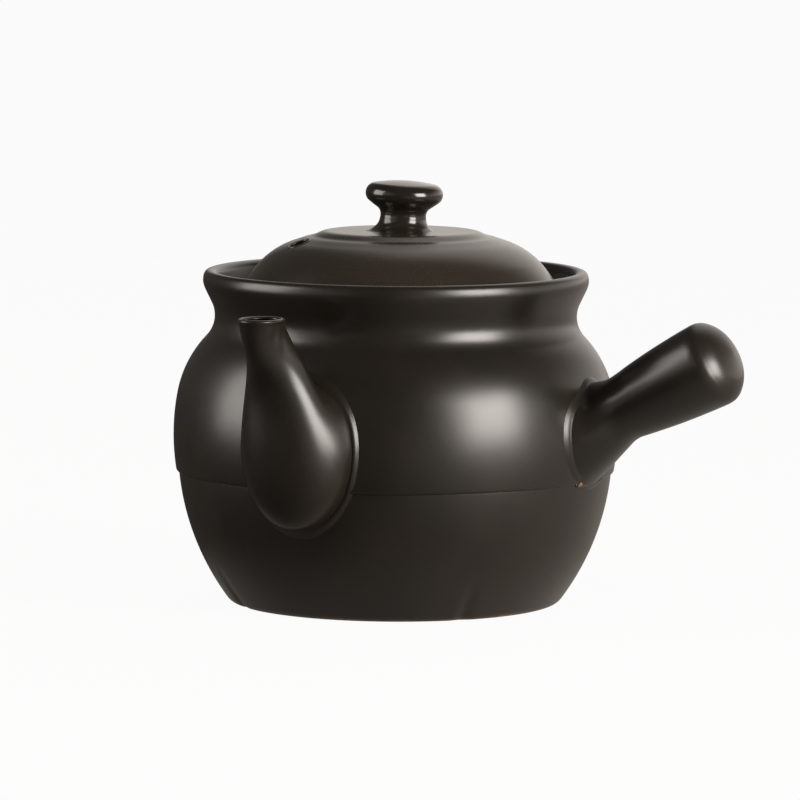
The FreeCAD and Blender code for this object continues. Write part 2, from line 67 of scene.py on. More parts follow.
def cut_back(run, length):
    """Drop that length from the start of a run of points."""
    rest = list(run)
    while len(rest) > 2 and (rest[1] - rest[0]).length <= length:
        length -= (rest[1] - rest[0]).length
        rest.pop(0)
    gap = rest[1] - rest[0]
    rest[0] = rest[0] + gap * min(0.9, length / gap.length)
    return rest


def rounded(start, corner, end):
    """The points of a rounded corner, which bend from one run into the next."""
    shares = [step / CORNER_STEPS for step in range(1, CORNER_STEPS)]
    return [start.lerp(corner, share).lerp(corner.lerp(end, share), share) for share in shares]


def profile(corners, closed=False, spacing=1.2):
    """Points of a turned profile, (radius, height) in mm.

    A corner is (radius, height, bend, soft): bend is the radius of the arc that leads to
    it, minus where the arc is hollow, and soft is the length by which it is rounded.
    """
    full = [tuple(corner) + (0,) * (4 - len(corner)) for corner in corners]
    places = [Vector(corner[:2]) for corner in full]
    first = 0 if closed else 1
    runs = [run_between(places[number - 1], places[number], full[number][2], spacing)
            for number in range(first, len(full))]
    softs = [corner[3] for corner in full[first:]]
    points = []
    for number, run in enumerate(runs):
        before = softs[number - 1] if closed or number else 0
        after = softs[number] if closed or number < len(runs) - 1 else 0
        if before:
            run = cut_back(run, before)
        if after:
            run = cut_back(run[::-1], after)[::-1]
        points += run
        if after:
            onward = cut_back(runs[(number + 1) % len(runs)], after)[0]
            points += rounded(run[-1], runs[number][-1], onward)
    spaced = points[:1]
    for point in points[1:]:
        if (point - spaced[-1]).length > LEAST_GAP:
            spaced.append(point)
    return spaced + spaced[:1] if closed else spaced


def node(tree, kind, sources=(), **settings):
    """Add a node.  Sources are pairs of an input and the value or socket that feeds it."""
    made = tree.nodes.new(kind)
    for key, setting in settings.items():
        setattr(made, key, setting)
    for key, source in sources:
        if isinstance(source, bpy.types.NodeSocket):
            tree.links.new(source, made.inputs[key])
        else:
            made.inputs[key].default_value = source
    return made


def math_node(tree, operation, *values):
    """The result of one Math node."""
    return node(tree, "ShaderNodeMath", enumerate(values), operation=operation).outputs[0]


def spread(tree, source, low, high, to_low=0.0, to_high=1.0, **settings):
    """The span from low to high, stretched over the one from to_low to to_high."""
    return node(tree, "ShaderNodeMapRange", [
        ("Value", source), ("From Min", low), ("From Max", high),
        ("To Min", to_low), ("To Max", to_high),
    ], **settings).outputs[0]


def new_tree(name, sockets):
    """A Geometry Nodes tree with named inputs, and its input and output nodes."""
    tree = bpy.data.node_groups.new(name, "GeometryNodeTree")
    for label, kind in sockets:
        tree.interface.new_socket(label, in_out="INPUT", socket_type="NodeSocket" + kind)
    tree.interface.new_socket("Geometry", in_out="OUTPUT", socket_type="NodeSocketGeometry")
    return tree, tree.nodes.new("NodeGroupInput").outputs, tree.nodes.new("NodeGroupOutput")


def end_tree(tree, form, finish, made):
    """End a tree with plain geometry that wears its finish."""
    form = node(tree, "GeometryNodeRealizeInstances", [("Geometry", form)])
    form = node(tree, "GeometryNodeSetMaterial", [
        ("Geometry", form.outputs[0]), ("Material", finish),
    ])
    tree.links.new(form.outputs[0], made.inputs[0])


# points nearer than this are one point, at a form's seam and poles and in a finished mesh
SEAM_GAP, DOUBLE_GAP = 0.005 * MM, 0.004 * MM
# tool marks are cut where the form is wider than this, and to their full depth further out
MARKED_FROM, MARKED_FULLY = 62 * MM, 72 * MM


def turned_form_tree():
    """Turns a profile into a closed form, slightly uneven, with tool marks at its foot."""
    tree, given, made = new_tree("turned_form", [
        ("Profile", "Geometry"), ("Steps", "Int"), ("Uneven", "Float"),
        ("Uneven Size", "Float"), ("Seed", "Float"), ("Marks", "Int"),
        ("Mark Heading", "Float"), ("Mark Width", "Float"), ("Mark Depth", "Float"),
        ("Mark Top", "Float"), ("Finish", "Material"),
    ])
    maths = partial(math_node, tree)
    count = node(tree, "GeometryNodeAttributeDomainSize", [("Geometry", given["Profile"])])
    around = maths("ADD", given["Steps"], 1)
    grid = node(tree, "GeometryNodeMeshGrid", [
        ("Vertices X", count.outputs["Point Count"]), ("Vertices Y", around),
    ])
    index = tree.nodes.new("GeometryNodeInputIndex").outputs[0]
    row = maths("FLOOR", maths("DIVIDE", maths("ADD", index, 0.5), around))
    step = maths("SUBTRACT", index, maths("MULTIPLY", row, around))
    here = tree.nodes.new("GeometryNodeInputPosition").outputs[0]
    place = node(tree, "GeometryNodeSampleIndex", [
        ("Geometry", given["Profile"]), ("Value", here), ("Index", row),
    ], data_type="FLOAT_VECTOR")
    split = node(tree, "ShaderNodeSeparateXYZ", [(0, place.outputs[0])]).outputs
    radius, height = split["X"], split["Z"]
    angle = maths("MULTIPLY", maths("DIVIDE", step, given["Steps"]), math.tau)
    east, north = maths("COSINE", angle), maths("SINE", angle)

    def out_at(distance):
        """The place at that distance from the axis, on the point's own spoke and level."""
        return node(tree, "ShaderNodeCombineXYZ", [
            (0, maths("MULTIPLY", distance, east)),
            (1, maths("MULTIPLY", distance, north)), (2, height),
        ]).outputs[0]

    # unevenness of the hand-worked wall, which vanishes at the axis
    noise = node(tree, "ShaderNodeTexNoise", [
        ("Vector", out_at(radius)), ("W", given["Seed"]), ("Detail", 1.0),
        ("Scale", maths("DIVIDE", 1.0, given["Uneven Size"])),
    ], noise_dimensions="4D")
    swell = maths("MULTIPLY", maths("SUBTRACT", noise.outputs[0], 0.5), given["Uneven"])
    swell = maths("MULTIPLY", swell, spread(tree, radius, 0.0, 10 * MM))

    # each tool mark is a shallow groove that fades upwards
    turn = maths("SUBTRACT", angle, given["Mark Heading"])
    share = maths("DIVIDE", maths("MULTIPLY", turn, given["Marks"]), math.tau)
    off = maths("SUBTRACT", share, maths("ROUND", share))
    arc = maths("MULTIPLY", maths("DIVIDE", off, given["Marks"]), math.tau)
    across = maths("DIVIDE", maths("MULTIPLY", arc, radius), given["Mark Width"])
    groove = maths("POWER", math.e, maths("MULTIPLY", maths("MULTIPLY", across, across), -1.0))
    fade = spread(tree, height, given["Mark Top"], 0.0, interpolation_type="SMOOTHSTEP")
    marked = maths("MULTIPLY", fade, spread(tree, radius, MARKED_FROM, MARKED_FULLY))
    depth = maths("MULTIPLY", given["Mark Depth"], marked)
    reach = maths("ADD", radius, maths("SUBTRACT", swell, maths("MULTIPLY", groove, depth)))

    form = node(tree, "GeometryNodeSetPosition", [
        ("Geometry", grid.outputs["Mesh"]), ("Position", out_at(reach)),
    ])
    form = node(tree, "GeometryNodeMergeByDistance", [
        ("Geometry", form.outputs[0]), ("Distance", SEAM_GAP),
    ])
    form = node(tree, "GeometryNodeSetShadeSmooth", [("Geometry", form.outputs[0])])
    end_tree(tree, form.outputs[0], given["Finish"], made)
    return tree


BIT_SIDES = 40


def drilled_tree():
    """Cuts a round hole through a form at each of another object's points."""
    tree, given, made = new_tree("drilled", [
        ("Form", "Geometry"), ("Centres", "Object"), ("Diameter", "Float"),
        ("Length", "Float"), ("Tilt", "Float"), ("Finish", "Material"),
    ])
    centres = node(tree, "GeometryNodeObjectInfo", [("Object", given["Centres"])])
    bit = node(tree, "GeometryNodeMeshCylinder", [
        ("Vertices", BIT_SIDES), ("Depth", given["Length"]),
        ("Radius", math_node(tree, "MULTIPLY", given["Diameter"], 0.5)),
    ])
    bit = node(tree, "GeometryNodeSetMaterial", [
        ("Geometry", bit.outputs["Mesh"]), ("Material", given["Finish"]),
    ])
    turn = node(tree, "ShaderNodeCombineXYZ", [(0, given["Tilt"])]).outputs[0]
    bits = node(tree, "GeometryNodeInstanceOnPoints", [
        ("Points", centres.outputs["Geometry"]), ("Instance", bit.outputs[0]), ("Rotation", turn),
    ])
    bits = node(tree, "GeometryNodeRealizeInstances", [("Geometry", bits.outputs[0])])
    cut = node(tree, "GeometryNodeMeshBoolean", [
        ("Mesh 1", given["Form"]), ("Mesh 2", bits.outputs[0]),
    ], operation="DIFFERENCE", solver="EXACT")
    end_tree(tree, cut.outputs[0], given["Finish"], made)
    return tree


def give(piece, tree, **inputs):
    """Put a tree on a piece and set its named inputs, before it is evaluated."""
    modifier = piece.modifiers.new(tree.name, "NODES")
    modifier.node_group = tree
    names = {item.name: item.identifier for item in tree.interface.items_tree}
    for key, setting in inputs.items():
        modifier[names[key.replace("_", " ")]] = setting


def new_piece(name, places, faces=()):
    """A new object at the origin from points in metres."""
    mesh = bpy.data.meshes.new(name)
    mesh.from_pydata([tuple(place) for place in places], [], [tuple(face) for face in faces])
    piece = bpy.data.objects.new(name, mesh)
    bpy.context.scene.collection.objects.link(piece)
    return piece


def point_outwards(piece):
    """Merge doubles, turn the faces outwards and shade them smooth."""
    form = bmesh.new()
    form.from_mesh(piece.data)
    bmesh.ops.remove_doubles(form, verts=form.verts, dist=DOUBLE_GAP)
    bmesh.ops.recalc_face_normals(form, faces=form.faces)
    for face in form.faces:
        face.smooth = True
    form.to_mesh(piece.data)
    form.free()


def settle(piece, placement=None):
    """Make a piece's modifiers a plain mesh, in its place, with its faces outwards."""
    bpy.context.view_layer.update()
    seen = piece.evaluated_get(bpy.context.evaluated_depsgraph_get())
    plain = bpy.data.meshes.new_from_object(seen)
    plain.name = piece.name
    piece.modifiers.clear()
    piece.data = plain
    if placement:
        plain.transform(placement)
    point_outwards(piece)


turned_form = turned_form_tree()
drilled = drilled_tree()
UNEVEN_SIZE = 45
NO_MARKS = (1, 0, 1, 0, 1)


def drill(piece, finish, centres, diameter, length, tilt=0, placement=None):
    """Drill a round hole at each centre and settle the piece.  A tilt of 0 is upright."""
    marker = new_piece(piece.name + "_hole_centres", [Vector(centre) * MM for centre in centres])
    give(piece, drilled, Centres=marker, Diameter=diameter * MM, Length=length * MM,
         Tilt=math.radians(tilt), Finish=finish)
    settle(piece, placement)
    bpy.data.objects.remove(marker)


def turn_piece(name, points, finish, seed, steps=240, uneven=0.25, marks=NO_MARKS,
               holes=None, placement=None):
    """Turn a profile, drill its holes and set it in its place.

    Marks are the number of tool marks, the heading of the first one, and their width,
    depth and top.  Holes are what drill is told: centres, diameter, length and tilt.
    """
    count, heading, width, depth, top = marks
    piece = new_piece(name, [(r * MM, 0, z * MM) for r, z in points])
    give(piece, turned_form, Steps=steps, Uneven=uneven * MM, Uneven_Size=UNEVEN_SIZE * MM,
         Seed=float(seed), Marks=count, Mark_Heading=math.radians(heading), Mark_Width=width * MM,
         Mark_Depth=depth * MM, Mark_Top=top * MM, Finish=finish)
    if holes:
        drill(piece, finish, *holes, placement=placement)
    else:
        settle(piece, placement)
    return piece


def colour(red, green, blue):
    """A colour as its red, green and blue look on a screen, from 0 to 255."""
    shares = [value / 255 for value in (red, green, blue)]
    return (*[s / 12.92 if s <= 0.04045 else ((s + 0.055) / 1.055) ** 2.4 for s in shares], 1)


# a Mix node has sockets for each kind of value, and these are a colour's
MIX_SHARE, MIX_FIRST, MIX_SECOND, MIX_RESULT = 0, 6, 7, 2


def mixed(tree, share, first, second):
    """Two colours mixed: the first at a share of 0, the second at 1."""
    return node(tree, "ShaderNodeMix", [
        (MIX_SHARE, share), (MIX_FIRST, first), (MIX_SECOND, second),
    ], data_type="RGBA").outputs[MIX_RESULT]


FIRED_CLAY = colour(116, 74, 50), colour(148, 102, 72)


def stoneware_glaze(name, dark, light, speck, gloss, foot_line=None, chip=None):
    """Satin iron glaze: cloudy, finely grained and pitted.

    It was wiped off below foot_line, in mm, and came off in the kiln at chip, in metres.
    """
    finish = bpy.data.materials.new(name)
    finish.use_nodes = True
    tree = finish.node_tree
    shader = tree.nodes["Principled BSDF"]
    spot = tree.nodes.new("ShaderNodeTexCoord").outputs["Object"]
    maths = partial(math_node, tree)

    def noise(repeats, detail):
        """A noise with about that many repeats a metre."""
        return node(tree, "ShaderNodeTexNoise", [
            ("Vector", spot), ("Scale", repeats), ("Detail", detail),
        ]).outputs[0]

    def varied(source, to_low=0.0, to_high=1.0):
        """The usual range of a noise, stretched over another one."""
        return spread(tree, source, 0.3, 0.7, to_low, to_high)

    clouds = noise(22.0, 4.0)
    grain = noise(1400.0, 1.0)
    peel = noise(420.0, 2.0)
    pits = node(tree, "ShaderNodeTexVoronoi", [("Vector", spot), ("Scale", 95.0)])
    pit = spread(tree, pits.outputs["Distance"], 0.015, 0.03, 1.0, 0.0)

    tone = mixed(tree, spread(tree, clouds, 0.35, 0.65), dark, light)
    tone = mixed(tree, spread(tree, grain, 0.62, 0.75, 0.0, 0.18), tone, speck)
    roughness = maths("ADD", varied(clouds, gloss - 0.02, gloss + 0.03), varied(grain, -0.015, 0.015))
    bare = None
    if foot_line is not None:
        height = node(tree, "ShaderNodeSeparateXYZ", [(0, spot)]).outputs["Z"]
        edge = maths("ADD", height, varied(noise(90.0, 2.0), -0.4 * MM, 0.4 * MM))
        bare = spread(tree, edge, (foot_line + 0.3) * MM, (foot_line - 0.3) * MM)
    if chip is not None:
        gap = node(tree, "ShaderNodeVectorMath", [(0, spot), (1, chip)], operation="DISTANCE")
        edge = maths("ADD", gap.outputs["Value"], varied(noise(900.0, 2.0), -0.8 * MM, 0.8 * MM))
        bare = spread(tree, edge, 1.2 * MM, 0.9 * MM)
    if bare is not None:
        tone = mixed(tree, bare, tone, mixed(tree, varied(noise(260.0, 4.0)), *FIRED_CLAY))
        roughness = maths("ADD", roughness, maths("MULTIPLY", bare, 0.4))
    tree.links.new(tone, shader.inputs["Base Color"])
    tree.links.new(roughness, shader.inputs["Roughness"])

    relief = maths("ADD", maths("MULTIPLY", peel, 0.6), maths("MULTIPLY", grain, 0.2))
    relief = maths("SUBTRACT", relief, pit)
    bump = node(tree, "ShaderNodeBump", [("Height", relief), ("Strength", 0.3), ("Distance", 0.05 * MM)])
    tree.links.new(bump.outputs[0], shader.inputs["Normal"])
    shader.inputs["Specular IOR Level"].default_value = 0.45
    return finish


# dark, light and speck
IRON_BLACK = colour(20, 17, 13), colour(27, 22, 17), colour(44, 36, 28)
bowl_glaze = stoneware_glaze("bowl_glaze", *IRON_BLACK, gloss=0.33, foot_line=0.9)

WALL = 5.5
FOOT, SEAM = (73.9, 0), (97.5, 59.5)
BOWL_BEND = 114.4
BOWL_OUTSIDE = [FOOT, (*SEAM, BOWL_BEND)]

# height of each row of the strainer, and the places of its holes in hole spacings
STRAINER_ROWS = [
    (51.5, (-1, 0, 1)), (67.5, (-1.5, -0.5, 0.5, 1.5)), (77.5, (-1, 0, 1)), (87.5, (-0.5, 0.5)),
]
HOLE_SPACING, HOLE_REACH, HOLE_DIAMETER, DRILL_LENGTH = 10, 92, 5, 40


def strainer(rows):
    """Centres, diameter, length and tilt of the holes in those rows."""
    centres = [(HOLE_SPACING * place, -HOLE_REACH, height) for height, places in rows for place in places]
    return centres, HOLE_DIAMETER, DRILL_LENGTH, 90


bowl_wall = turn_piece("bowl_wall", profile([
    (0, 1.5), (55, 1.5, 0, 1), (58, 0, 0, 1), (*FOOT, 0, 3.2), (*SEAM, BOWL_BEND, 0.15),
    (SEAM[0] - WALL, SEAM[1], 0, 0.6), (72.7, 8, -(BOWL_BEND - WALL), 11), (0, 8),
]), bowl_glaze, seed=9, steps=360, marks=(4, 50, 3, 1.6, 24), holes=strainer(STRAINER_ROWS[:1]))
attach(bowl_wall, "pot")
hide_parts("lower_bowl")

# ======================================================================================
# Shoulder
# The upper half, set on the bowl while both were damp: its lower edge stands out a
# little over the seam.  A hollow neck flares into a rolled rim, with the lid's ledge.
# ======================================================================================
pot_glaze = stoneware_glaze("pot_glaze", *IRON_BLACK, gloss=0.31, chip=(0.0980, -0.0130, 0.0592))

BELLY, BELLY_HEIGHT = 100, 76
BELLY_END, BELLY_END_HEIGHT = 98.2, 95
SHOULDER_BEND = 50
SHOULDER_OUTSIDE = [
    (98.65, SEAM[1]), (BELLY_END, BELLY_END_HEIGHT, BELLY), (85.3, 120, SHOULDER_BEND)]

inside = 1 - WALL / BELLY
inner_belly = math.sqrt((BELLY - WALL) ** 2 - (BELLY_HEIGHT - SEAM[1]) ** 2)
inner_end_height = BELLY_HEIGHT + (BELLY_END_HEIGHT - BELLY_HEIGHT) * inside
shoulder_wall = turn_piece("shoulder_wall", profile([
    (*SHOULDER_OUTSIDE[0], 0, 1.1), *SHOULDER_OUTSIDE[1:], (82.6, 134.8, -13.8),
    (86.5, 142.9, 0, 1.6), (86.45, 148.1, 9), (83.4, 149.9, 2.6), (79.9, 146.4, 3.5),
    (77.8, 135, 0, 1.2), (71.5, 135, 0, 0.8), (71.5, 130, 0, 0.8), (76.6, 120.5, 0, 1.5),
    (BELLY_END * inside, inner_end_height, -(SHOULDER_BEND - WALL)),
    (inner_belly, SEAM[1], -(BELLY - WALL), 0.6),
], closed=True, spacing=1.0), pot_glaze, seed=13, holes=strainer(STRAINER_ROWS[1:]))
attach(shoulder_wall, "pot")
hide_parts("upper_shell")

# ======================================================================================
# Spout
# A hollow horn, cast apart and stuck over the strainer: wide at the root, narrow at the
# lip, and cut level.  Its lip was rounded with a damp sponge.
# ======================================================================================
# reach from the axis, height, tilt in degrees, half width across, half width upright, and
# how far this hand-made horn strays sideways
SPOUT_STATIONS = [
    (78, 68, 39.4, 21.8, 33.1, 0.2), (99.5, 81.7, 30.5, 25.2, 31.3, 0.5),
    (107.9, 93.2, 40.8, 20.3, 20, -0.8), (114.1, 115.7, 60.8, 12.6, 12.1, -2.8),
    (124.2, 129.6, 68.8, 8.3, 13.5, -2.5), (131.5, 138.5, 90, 9.9, 12.1, -0.6),
]
SPOUT_WALL = (4, 4, 4, 3.6, 2.6, 2.4)
SPOUT_ROUND, SPOUT_LONG, LIP_ROUND = 72, 60, 12
# the horn's skins start a little way inside the wall, and its lip is rounded over its last
# stretch
SPOUT_SUNK = 2.5
HORN_LENGTH, LIP_DROP = 75, 1.4
LIP_START = 1 - LIP_DROP / HORN_LENGTH
HALVINGS = 40


def smooth_through(values, knots, at):
    """A natural cubic spline through values at knots, read at one place."""
    count = len(values)
    gaps = [knots[i + 1] - knots[i] for i in range(count - 1)]
    second, upper, lower = [0.0] * count, [0.0] * count, [0.0] * count
    for i in range(1, count - 1):
        slope = (values[i + 1] - values[i]) / gaps[i] - (values[i] - values[i - 1]) / gaps[i - 1]
        pivot = 2 * (gaps[i - 1] + gaps[i]) - gaps[i - 1] * upper[i - 1]
        upper[i] = gaps[i] / pivot
        lower[i] = (6 * slope - gaps[i - 1] * lower[i - 1]) / pivot
    for i in range(count - 2, 0, -1):
        second[i] = lower[i] - upper[i] * second[i + 1]
    i = max(0, min(count - 2, sum(at >= knot for knot in knots[1:-1])))
    a, b, gap = (knots[i + 1] - at) / gaps[i], (at - knots[i]) / gaps[i], gaps[i]
    bent = ((a ** 3 - a) * second[i] + (b ** 3 - b) * second[i + 1]) * gap ** 2 / 6
    return a * values[i] + b * values[i + 1] + bent


def spout_knots():
    """How far along the horn each station is, from 0 to 1."""
    lengths = [0.0]
    for near, far in zip(SPOUT_STATIONS, SPOUT_STATIONS[1:]):
        lengths.append(lengths[-1] + math.dist(near[:2], far[:2]))
    return [length / lengths[-1] for length in lengths]


KNOTS = spout_knots()


def spout_point(along, turn, inset=0.0):
    """A point of the horn: along it from 0 to 1, and round it by an angle."""
    reach, height, tilt, side, rise, stray = (
        smooth_through(values, KNOTS, along) for values in zip(*SPOUT_STATIONS))
    tilt = math.radians(tilt)
    up = (rise - inset) * math.sin(turn)
    return Vector((
        stray + (side - inset) * math.cos(turn),
        -(reach - up * math.sin(tilt)),
        height + up * math.cos(tilt)))


def spout_bore_point(along, turn):
    """A point of the channel inside the horn."""
    return spout_point(along, turn, smooth_through(SPOUT_WALL, KNOTS, along))


def read_off(line, at):
    """The second value of a rising line of pairs, where the first value is at."""
    for (low, start), (high, end) in zip(line, line[1:]):
        if low <= at <= high:
            return start + (end - start) * (at - low) / max(high - low, 1e-6)
    return line[0][1] if at < line[0][0] else line[-1][1]


wall_line = sorted((z, r) for r, z in profile(BOWL_OUTSIDE) + profile(SHOULDER_OUTSIDE)[1:])


def meets_wall(path, sink=0.0):
    """Where a path from inside the pot (0) to outside (1) crosses the wall."""
    inside, outside = 0.0, 1.0
    for _ in range(HALVINGS):
        middle = (inside + outside) / 2
        place = path(middle)
        if math.hypot(place.x, place.y) < read_off(wall_line, place.z) - sink:
            inside = middle
        else:
            outside = middle
    return outside


def turns_round(count):
    """The angles of a whole turn in that many even steps."""
    return [math.tau * step / count for step in range(count)]


def skin_rings(skin, shares):
    """Rings of points on one skin of the horn, from the wall (0) to the lip (1)."""
    turns = turns_round(SPOUT_ROUND)
    starts = [meets_wall(lambda along: skin(along, turn), SPOUT_SUNK) for turn in turns]
    return [[skin(start + (LIP_START - start) * share, turn) for start, turn in zip(starts, turns)]
            for share in shares]


def lip_rings():
    """Rings of points over the rounded lip, from the outer skin to the inner one."""
    rings = []
    half_wall = SPOUT_WALL[-1] / 2
    for step in range(1, LIP_ROUND):
        swing = math.pi * step / LIP_ROUND
        inset, drop = half_wall - half_wall * math.cos(swing), LIP_DROP * (1 - math.sin(swing))
        rings.append([spout_point(1.0, turn, inset) - Vector((0, 0, drop))
                      for turn in turns_round(SPOUT_ROUND)])
    return rings


def closed_sleeve(name, rings):
    """A closed skin over rings of points in mm, whose last ring joins the first."""
    size = len(rings[0])
    faces = []
    for number in range(len(rings)):
        following = (number + 1) % len(rings)
        for step in range(size):
            onward = (step + 1) % size
            faces.append((number * size + step, number * size + onward,
                          following * size + onward, following * size + step))
    piece = new_piece(name, [point * MM for ring in rings for point in ring], faces)
    point_outwards(piece)
    return piece


shares = [step / SPOUT_LONG for step in range(SPOUT_LONG + 1)]
spout_horn = closed_sleeve("spout_horn", (
    skin_rings(spout_point, shares) + lip_rings() + skin_rings(spout_bore_point, shares[::-1])))
spout_horn.data.materials.append(pot_glaze)
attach(spout_horn, "pot")
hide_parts("spout")

# ======================================================================================
# Spout's clay coil
# The coil that sticks the spout on.  On one side it was smoothed into the horn, and on
# the other pressed down with a wooden tool, which left a fine groove and a narrow ridge.
# ======================================================================================
# distance from the root and height above the wall in mm, first where smoothed, then where
# grooved
RIDGE_SECTION = [
    (-2.6, -1.6, -2.6, -1.6), (-1.6, 1.65, -1.6, 1.6), (-0.8, 1.5, -0.8, 1.3), (-0.35, 1.4, -0.4, 1.15),
    (-0.1, 1.32, -0.15, 1.02), (0.1, 1.27, 0.05, 1.0), (0.4, 1.2, 0.2, 1.12), (0.85, 1.08, 0.5, 1.27),
    (1.5, 0.88, 1.0, 1.27), (2.2, 0.65, 1.6, 1.0), (2.9, 0.42, 2.1, 0.58), (3.6, 0.22, 2.5, 0.24),
    (4.3, 0.05, 2.85, 0.0), (4.9, -0.3, 3.2, -0.3), (4.9, -1.6, 3.2, -1.6),
]
# the wall's slope is taken over this height each way, which evens out the seam
SLOPE_REACH = 1.5
SPOUT_RIDGE_SIZE = 0.95
SPOUT_RIDGE_PARTS = 160


def between(low, value, high):
    """The value, held between low and high."""
    return max(low, min(high, value))


def on_wall(place, lift):
    """The place moved onto the wall, and then off it by lift, in mm."""
    below = read_off(wall_line, place.z - SLOPE_REACH)
    above = read_off(wall_line, place.z + SLOPE_REACH)
    radius, slope = (below + above) / 2, (above - below) / (2 * SLOPE_REACH)
    round_axis = Vector((place.x, place.y, 0)).normalized()
    outwards = Vector((round_axis.x, round_axis.y, -slope)).normalized()
    return Vector((round_axis.x * radius, round_axis.y * radius, place.z)) + outwards * lift


def ridge_round(name, contact, worked):
    """A low ridge of clay along the closed line where a root meets the wall.

    Worked tells its size, and how far it was pressed down from 0 to 1, by direction.
    """
    count = len(contact)
    centre = sum(contact, Vector()) / count
    rings = []
    for number, place in enumerate(contact):
        along = (contact[(number + 1) % count] - contact[number - 1]).normalized()
        outwards = Vector((place.x, place.y, 0)).normalized()
        aside = along.cross(outwards).normalized()
        if aside.dot(place - centre) < 0:
            aside = -aside
        size, pressed = worked(aside)
        ring = []
        for wide, low, narrow, high in RIDGE_SECTION:
            apart = wide + (narrow - wide) * pressed
            lift = low + (high - low) * pressed
            ring.append(on_wall(place + aside * apart * size, lift * size))
        rings.append(ring)
    return closed_sleeve(name, rings)


def spout_ridge_worked(aside):
    """Pressed down on the right, less so towards the top, and smoothed on the left."""
    return SPOUT_RIDGE_SIZE, between(0.0, 1.3 * aside.x - 0.35 - 0.4 * max(0.0, aside.z), 1.0)


spout_contact = []
for turn in turns_round(SPOUT_RIDGE_PARTS):
    start = meets_wall(lambda along: spout_point(along, turn))
    spout_contact.append(spout_point(start, turn))
spout_ridge = ridge_round("spout_ridge", spout_contact, spout_ridge_worked)
spout_ridge.data.materials.append(pot_glaze)
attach(spout_ridge, "pot")
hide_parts("spout_luting")

# ======================================================================================
# Handle
# A hollow club, thrown and closed at its end, then stuck on the wall at a slant.  A
# small hole underneath let the hot air out in the kiln.
# ======================================================================================
HANDLE_PLACE = Vector((97, 0, 84.9))
HANDLE_RISE = math.radians(27.4)
handle_axis = Vector((math.cos(HANDLE_RISE), 0, math.sin(HANDLE_RISE)))
over_handle = handle_axis.cross(Vector((0, 1, 0)))
handle_placement = (
    Matrix.Translation(HANDLE_PLACE * MM)
    @ Matrix.Rotation(math.pi / 2 - HANDLE_RISE, 4, "Y"))

# lengths run along the handle from its place on the wall; the flare narrows from root to
# neck, and the club widens again from there
ROOT_RADIUS, ROOT_AHEAD, ROOT_END = 24.4, -12, -24
NECK_RADIUS, NECK_AHEAD, CLUB_WIDENS = 14.5, 17, 0.1
handle_club = turn_piece("handle_club", profile([
    (0, ROOT_END), (ROOT_RADIUS, ROOT_END), (ROOT_RADIUS, ROOT_AHEAD),
    (NECK_RADIUS, NECK_AHEAD, 0, 4), (19.3, 65, 400, 1.5),
    (16.9, 70.3, 8, 0.5), (10.6, 74.6, 15, 0.8), (0, 76.7, 40),
], spacing=1.0), pot_glaze, seed=11, steps=120, uneven=0.3, placement=handle_placement)

# the thumb smoothed the flare away above and in front, up to where the club is plain, and
# the clay was drawn out in front
THUMB_SIDE = (over_handle * 0.7 - Vector((0, 0.71, 0))).normalized()
THUMB_EASE, THUMB_END = 10, 30
DRAWN_SIDE = (over_handle * -0.15 - Vector((0, 0.99, 0))).normalized()
DRAWN_OUT, DRAWN_EASE, DRAWN_END = 3.4, 34, 36


def eased(share):
    """A share from 0 to 1 that starts and ends gently."""
    share = between(0.0, share, 1.0)
    return share * share * (3 - 2 * share)


def worked_radius(thrown, ahead, around):
    """Radius of the root as stuck on: smoothed under the thumb and drawn out in front."""
    flare = thrown - (NECK_RADIUS + CLUB_WIDENS * (ahead - NECK_AHEAD))
    if flare > 0:
        smoothed = eased(ahead / THUMB_EASE) * eased((THUMB_END - ahead) / THUMB_EASE)
        thrown -= flare * max(0.0, around.dot(THUMB_SIDE)) ** 4 * smoothed
    drawn = max(0.0, around.dot(DRAWN_SIDE)) ** 2 * eased((DRAWN_END - ahead) / DRAWN_EASE)
    return thrown + DRAWN_OUT * drawn


for vertex in handle_club.data.vertices:
    offset = vertex.co / MM - HANDLE_PLACE
    ahead = offset.dot(handle_axis)
    spoke = offset - handle_axis * ahead
    if ahead < DRAWN_END and spoke.length > 1:
        around = spoke.normalized()
        vertex.co += around * (worked_radius(spoke.length, ahead, around) - spoke.length) * MM

# the root ends inside the wall, on a ball round the belly's middle
ROOT_BALL = 97.5
for vertex in handle_club.data.vertices:
    offset = vertex.co / MM - Vector((0, 0, BELLY_HEIGHT))
    if offset.length < ROOT_BALL:
        ahead = offset.dot(handle_axis)
        step = -ahead + math.sqrt(ahead ** 2 - offset.length_squared + ROOT_BALL ** 2)
        vertex.co += handle_axis * step * MM
drill(handle_club, pot_glaze, [(120, 0, 79.6)], 3, 12)
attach(handle_club, "pot")
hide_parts("handle")

# ======================================================================================
# Handle's clay coil
# The coil of clay that sticks the handle on, pressed into the corner all round its root
# and smoothed over with a thumb.
# ======================================================================================
HANDLE_RIDGE_PARTS = 140
# the stretch of the flare in which the wall lies, and how much it narrows there
FLARE_LENGTH, FLARE_NARROWS = 25, 8.53


def down_the_flare(share, around):
    """A place on the flaring root, from inside the wall at 0 to outside it at 1."""
    ahead = FLARE_LENGTH * share + ROOT_AHEAD
    radius = worked_radius(ROOT_RADIUS - FLARE_NARROWS * share, ahead, around)
    return HANDLE_PLACE + handle_axis * ahead + around * radius


def handle_ridge_worked(aside):
    """Smaller on the far side and below."""
    return 0.62 - 0.2 * min(aside.y, 0.4) + 0.2 * min(aside.z, 0), 0.2


